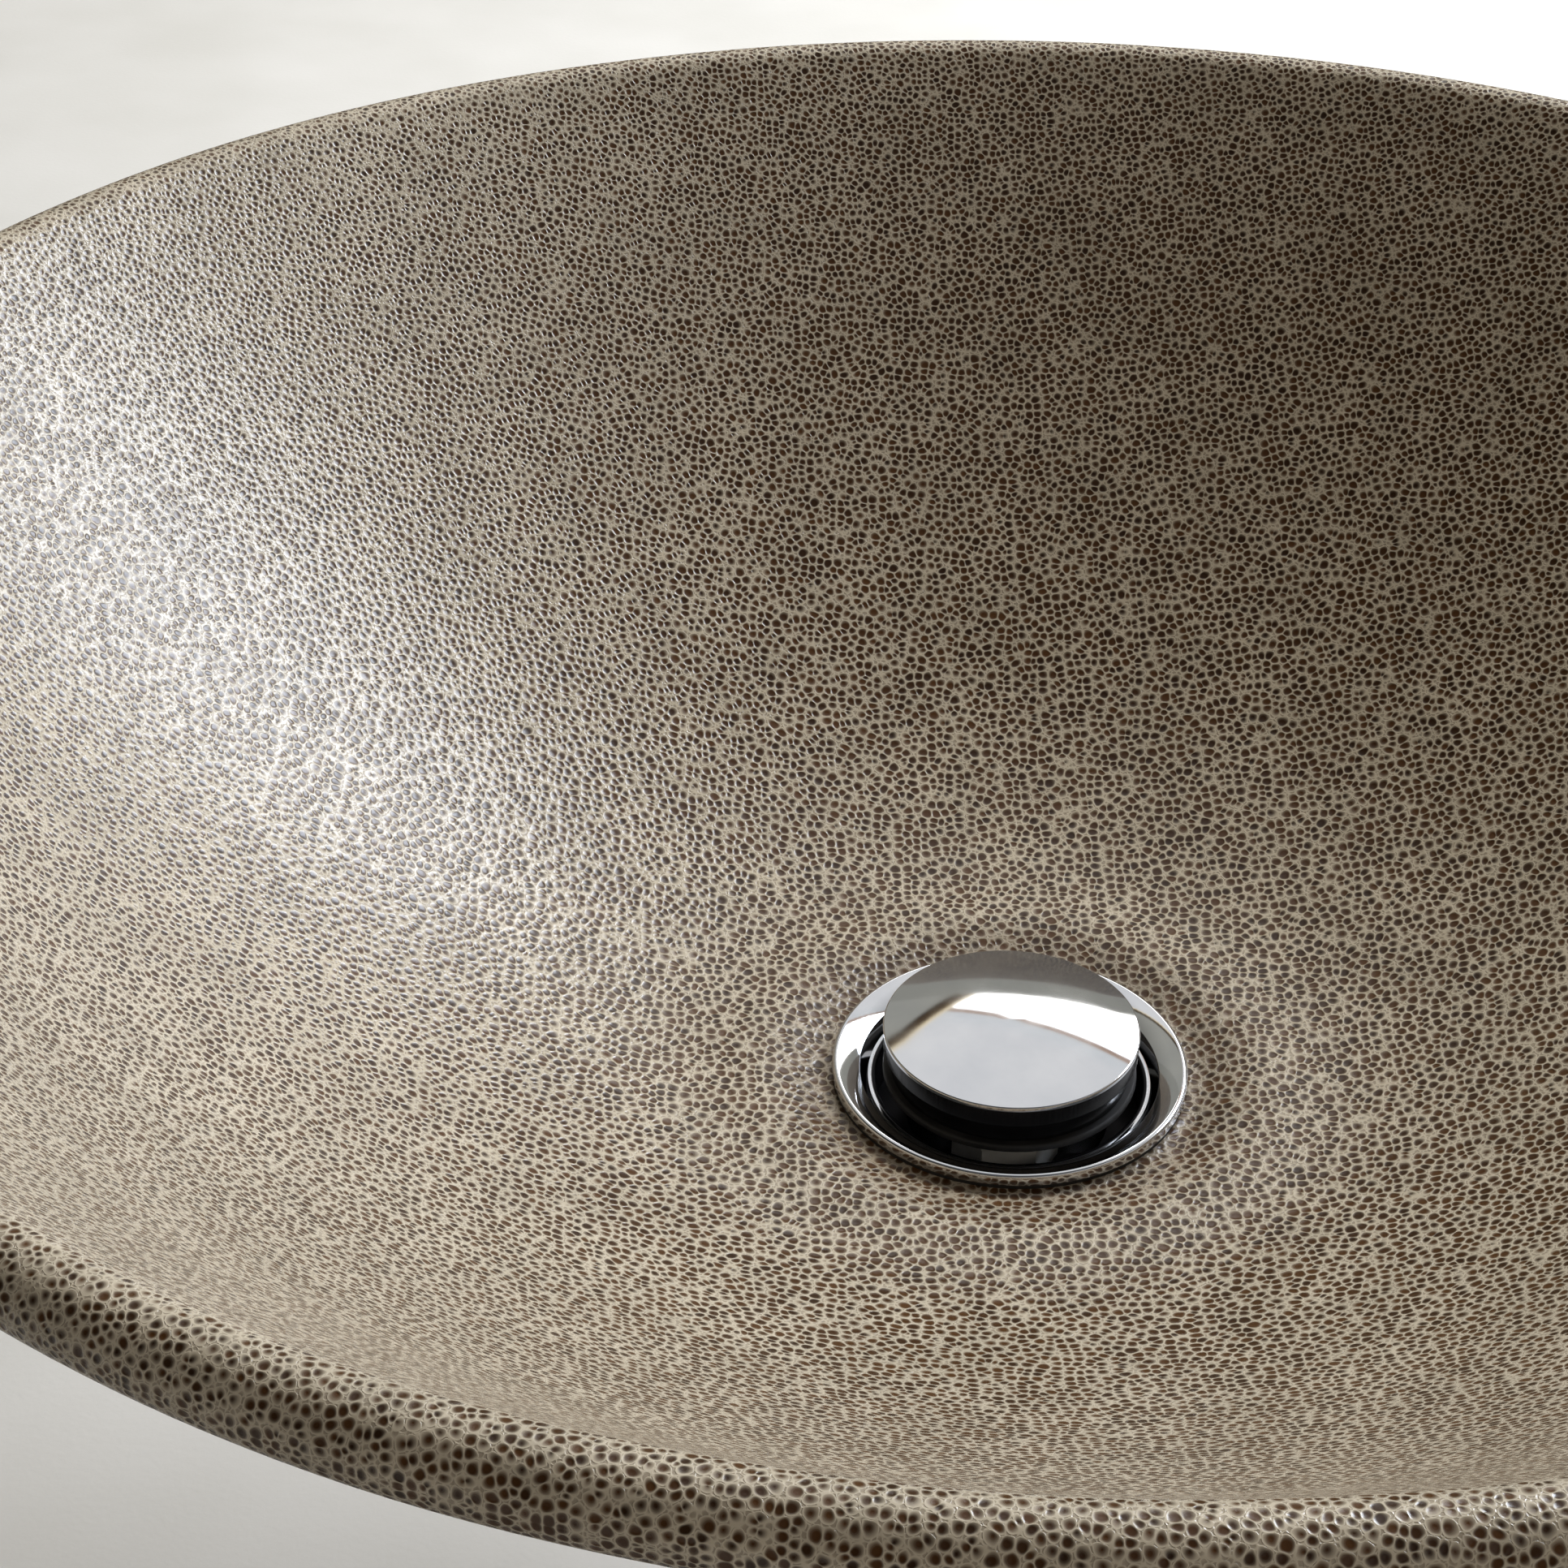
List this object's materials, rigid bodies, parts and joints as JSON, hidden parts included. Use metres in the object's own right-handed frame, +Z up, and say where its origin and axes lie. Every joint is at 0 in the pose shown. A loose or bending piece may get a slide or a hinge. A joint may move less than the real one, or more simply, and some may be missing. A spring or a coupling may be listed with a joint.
{
  "type": "round bathroom sink",
  "caption": "Round stoneware vessel basin with a rounded rim and a foot ring, fitted with a click drain: domed pop-up stopper, flange, cartridge, lock nut and outlet tube.",
  "frame": {"origin": "on the drain's axis, at the level of the counter top that the foot ring stands on", "axes": "+Z up along the drain's axis, out of the bowl; +X and +Y level, +Y away from the picture's viewer"},
  "size_m": [0.44, 0.44, 0.256],
  "materials": {
    "reticulated_glaze": "satin, beige network over brown",
    "chromed_brass": "polished",
    "black_rubber": "matt",
    "natural_nylon": "moulded",
    "bare_brass": "turned",
    "black_plastic": "moulded",
    "stainless_steel": "drawn",
    "white_acetal": "moulded"
  },
  "bodies": {
    "basin_and_drain": {"basin": "reticulated_glaze", "drain_body": "chromed_brass", "flange_seal": "black_rubber", "basin_gasket": "black_rubber", "friction_washer": "natural_nylon", "lock_nut": "bare_brass", "tailpiece_seal": "black_rubber", "tailpiece": "chromed_brass", "cartridge_housing": "white_acetal", "stem_ring": "black_rubber", "housing_washer": "black_rubber", "cartridge_nut": "bare_brass", "cartridge_end_cap": "white_acetal", "cartridge_spring": "stainless_steel"},
    "stopper": {"stopper_cap": "chromed_brass", "stopper_plug": "black_plastic", "stopper_seal": "black_rubber", "seal_retainer": "natural_nylon", "stopper_stud": "stainless_steel", "plunger": "white_acetal"},
    "cam": {"cam_rotor": "white_acetal"}
  },
  "joints": [
    {"name": "stopper_slide", "type": "slide", "parent": "basin_and_drain", "child": "stopper", "axis": [0, 0, 1], "range_m": [-0.0095, 0], "stiffness_N_per_m": 300, "springref_m": 0.02, "deforming": ["cartridge_spring"]},
    {"name": "cam_turn", "type": "hinge", "parent": "stopper", "child": "cam", "pos_m": [0, 0, -0.0072], "axis": [0, 0, 1], "range_deg": [0, 45]}
  ],
  "couplings": [
    {"joint": "cam_turn", "follows": "stopper_slide", "rad_per_m": -82.6}
  ]
}
